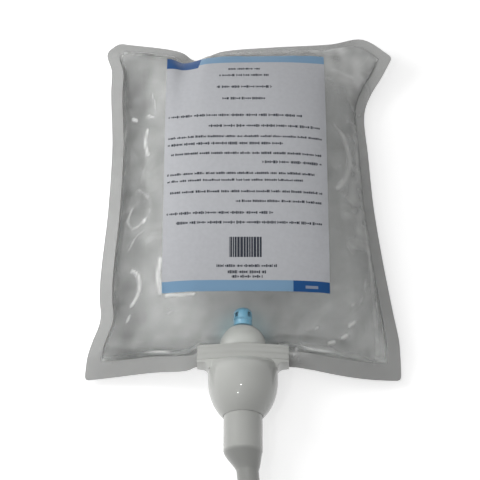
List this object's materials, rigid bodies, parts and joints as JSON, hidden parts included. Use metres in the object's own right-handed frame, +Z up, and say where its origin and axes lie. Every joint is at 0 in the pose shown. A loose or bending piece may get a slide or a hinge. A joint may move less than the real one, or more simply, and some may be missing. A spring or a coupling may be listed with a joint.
{
  "type": "hand sanitizer refill pouch with pump",
  "caption": "Clear film refill pouch of liquid hand rub, lying on its back, with a printed label and a sprung push pump welded into its foot.",
  "frame": {"origin": "on the flat of the pouch's back, half-way up the pouch, under the line of the pump's axis", "axes": "+Z up out of the label, +Y along the pump's axis towards the top of the pouch, so that the nozzle points along -Y, and +X to the right"},
  "size_m": [0.1911, 0.3129, 0.0444],
  "materials": {
    "film": "clear gloss film",
    "rub": "clear liquid",
    "label": "satin print",
    "white_plastic": "satin",
    "natural_plastic": "matt",
    "blue_plastic": "gloss",
    "seal": "soft matt",
    "steel": "bright"
  },
  "bodies": {
    "pack": {"pouch_film": "film", "hand_rub": "rub", "label": "label", "spout": "white_plastic", "pump_housing": "white_plastic", "neck_gasket": "seal", "pump_cylinder": "natural_plastic", "inlet_seal": "seal", "inlet_cage": "blue_plastic", "inlet_ball": "steel", "stem_guide": "natural_plastic", "return_spring": "steel"},
    "plunger": {"piston_rod": "natural_plastic", "piston_seal": "seal", "outlet_valve": "seal", "nozzle": "white_plastic", "spray_insert": "natural_plastic"}
  },
  "joints": [
    {"name": "nozzle_press", "type": "slide", "parent": "pack", "child": "plunger", "axis": [0, 1, 0], "range_m": [0, 0.01], "stiffness_N_per_m": 500, "springref_m": -0.012, "deforming": ["return_spring"]}
  ]
}
